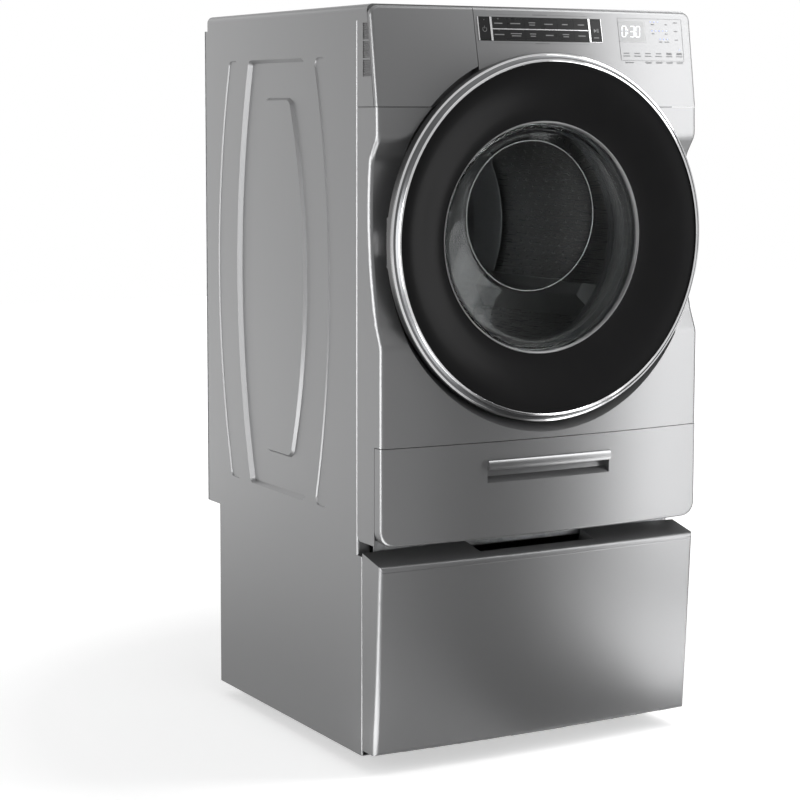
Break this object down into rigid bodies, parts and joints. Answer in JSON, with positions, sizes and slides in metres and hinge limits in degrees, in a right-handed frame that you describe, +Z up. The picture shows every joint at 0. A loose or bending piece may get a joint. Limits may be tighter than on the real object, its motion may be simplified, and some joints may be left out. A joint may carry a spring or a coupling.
{
  "type": "front load washing machine",
  "caption": "Front load washing machine with a round door, turning drum on a sprung tub, dispenser and bulk detergent drawers, on a storage drawer pedestal.",
  "frame": {"origin": "on the floor, under the middle of the whole machine's bounding box", "axes": "+Z up, +X to the right seen from the front, the door faces -Y"},
  "size_m": [0.686, 0.801, 1.375],
  "materials": {
    "graphite_paint": "satin metallic grey paint",
    "graphite_plastic": "metallic grey moulding",
    "black_gloss": "glossy black",
    "silver_trim": "bright silver moulding",
    "chrome_trim": "polished",
    "smoked_lens": "dark tinted, glossy",
    "charcoal_plastic": "dark grey filled moulding",
    "black_plastic": "matt black",
    "bowl_glass": "clear glass",
    "zinc_steel": "zinc-coated sheet",
    "bright_steel": "bright steel",
    "drum_steel": "stainless, perforated look",
    "grey_rubber": "dark grey rubber",
    "tub_plastic": "light grey moulding",
    "baffle_plastic": "grey moulding",
    "cast_weight": "rough casting",
    "cast_aluminium": "die cast",
    "circuit_board": "green board"
  },
  "bodies": {
    "cabinet": {"left_side_panel": "graphite_paint", "right_side_panel": "graphite_paint", "top_panel": "graphite_paint", "rear_panel": "zinc_steel", "rear_access_cover": "zinc_steel", "base_frame": "zinc_steel", "top_brace": "zinc_steel", "front_panel": "graphite_paint", "console_panel": "graphite_plastic", "key_bezel": "black_gloss", "cycle_keys": "black_gloss", "display_window": "graphite_plastic", "control_board": "circuit_board", "dispenser_housing": "tub_plastic", "hinge_bracket": "zinc_steel", "door_lock": "black_plastic", "door_gasket": "grey_rubber", "inlet_valves": "tub_plastic", "drain_port": "tub_plastic", "drain_hose": "grey_rubber", "cord_gland": "black_plastic", "drain_pump": "black_plastic", "sump_hose": "grey_rubber", "suspension_springs": "bright_steel", "damper_cylinders": "black_plastic", "cabinet_screws": "bright_steel", "pedestal_shell": "graphite_paint", "pedestal_feet": "black_plastic", "slide_outer_rails": "zinc_steel"},
    "tub": {"tub_front": "charcoal_plastic", "tub_rear": "charcoal_plastic", "tub_screws": "bright_steel", "front_counterweight": "cast_weight", "top_counterweight": "cast_weight", "shaft_bearings": "bright_steel", "motor": "cast_aluminium", "drive_belt": "grey_rubber", "damper_rods": "bright_steel"},
    "drum": {"drum_shell": "drum_steel", "drum_baffles": "baffle_plastic", "drum_spider": "cast_aluminium", "drum_pulley": "cast_aluminium"},
    "rotor": {"motor_pulley": "bright_steel"},
    "door": {"door_trim_ring": "chrome_trim", "door_lens": "smoked_lens", "door_frame": "black_plastic", "door_bowl": "bowl_glass", "hinge_pin": "bright_steel", "latch_hook": "bright_steel"},
    "dispenser_drawer": {"dispenser_front": "graphite_plastic", "dispenser_tray": "tub_plastic"},
    "bulk_drawer": {"bulk_drawer_front": "graphite_paint", "bulk_handle": "silver_trim", "bulk_tank": "tub_plastic"},
    "pedestal_drawer": {"pedestal_drawer_front": "graphite_paint", "pedestal_drawer_box": "zinc_steel", "slide_inner_rails": "zinc_steel"},
    "pedestal_middle": {"slide_middle_rails": "zinc_steel"},
    "power_button": {"power_key": "black_gloss"},
    "start_button": {"start_key": "black_gloss"}
  },
  "joints": [
    {"name": "door_hinge", "type": "hinge", "parent": "cabinet", "child": "door", "pos_m": [-0.319, -0.3645, 0.96], "axis": [0, 0, -1], "range_deg": [0, 135]},
    {"name": "tub_float", "type": "slide", "parent": "cabinet", "child": "tub", "axis": [0, 0, 1], "range_m": [-0.008, 0.008], "stiffness_N_per_m": 20000, "springref_m": 0.0256, "deforming": ["suspension_springs", "sump_hose"]},
    {"name": "drum_spin", "type": "hinge", "parent": "tub", "child": "drum", "pos_m": [0, 0, 0.96], "axis": [0, 1, 0], "continuous": true},
    {"name": "motor_spin", "type": "hinge", "parent": "tub", "child": "rotor", "pos_m": [0.06, 0.3065, 0.542], "axis": [0, 1, 0], "continuous": true},
    {"name": "dispenser_slide", "type": "slide", "parent": "cabinet", "child": "dispenser_drawer", "axis": [0, -1, 0], "range_m": [0, 0.23]},
    {"name": "bulk_slide", "type": "slide", "parent": "cabinet", "child": "bulk_drawer", "axis": [0, -1, 0], "range_m": [0, 0.26]},
    {"name": "pedestal_slide", "type": "slide", "parent": "cabinet", "child": "pedestal_drawer", "axis": [0, -1, 0], "range_m": [0, 0.45]},
    {"name": "pedestal_middle_slide", "type": "slide", "parent": "cabinet", "child": "pedestal_middle", "axis": [0, -1, 0], "range_m": [0, 0.225]},
    {"name": "power_press", "type": "slide", "parent": "cabinet", "child": "power_button", "axis": [0, 1, 0], "range_m": [0, 0.001], "stiffness_N_per_m": 1000},
    {"name": "start_press", "type": "slide", "parent": "cabinet", "child": "start_button", "axis": [0, 1, 0], "range_m": [0, 0.001], "stiffness_N_per_m": 1000}
  ],
  "couplings": [
    {"joint": "motor_spin", "follows": "drum_spin", "ratio": 12.5},
    {"joint": "pedestal_middle_slide", "follows": "pedestal_slide", "ratio": 0.5}
  ]
}
